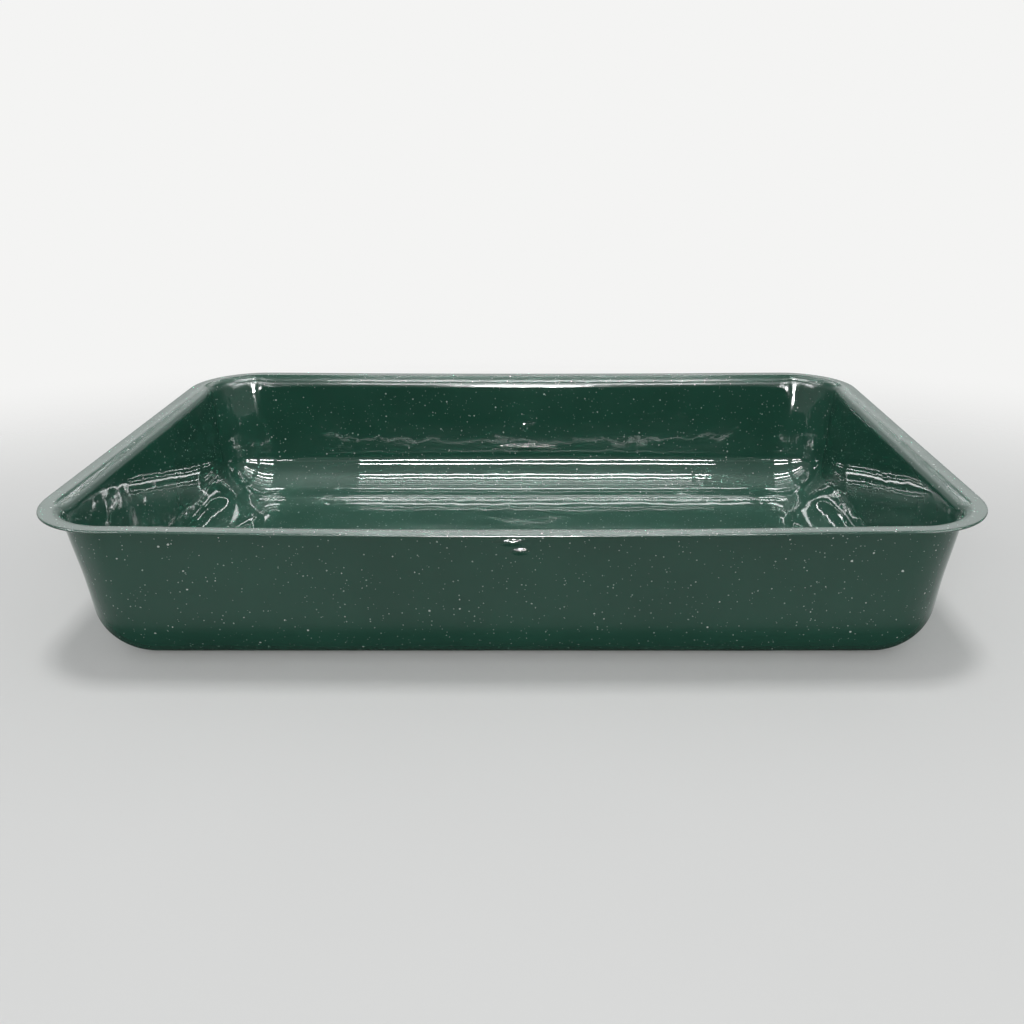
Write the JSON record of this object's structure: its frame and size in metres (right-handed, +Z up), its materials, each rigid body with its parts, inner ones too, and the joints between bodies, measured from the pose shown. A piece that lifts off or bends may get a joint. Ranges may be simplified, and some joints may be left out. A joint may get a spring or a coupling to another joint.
{
  "type": "roasting pan",
  "caption": "Deep rectangular enamelled-steel roasting pan with flared rounded walls, a plain flat flange and a flat base.",
  "frame": {"origin": "middle of the flat base, on the surface the pan stands on", "axes": "+X along the long side, +Y along the short side, +Z up, out of the pan's mouth"},
  "size_m": [0.4, 0.2656, 0.072],
  "materials": {
    "steel_core": "cold-rolled drawing steel, hidden between the two coats",
    "inside_coat": "glossy dark green vitreous enamel with small white specks",
    "outside_coat": "glossy dark green vitreous enamel with small white specks"
  },
  "bodies": {
    "root": {"steel_shell": "steel_core", "inside_enamel": "inside_coat", "outside_enamel": "outside_coat"}
  },
  "joints": []
}
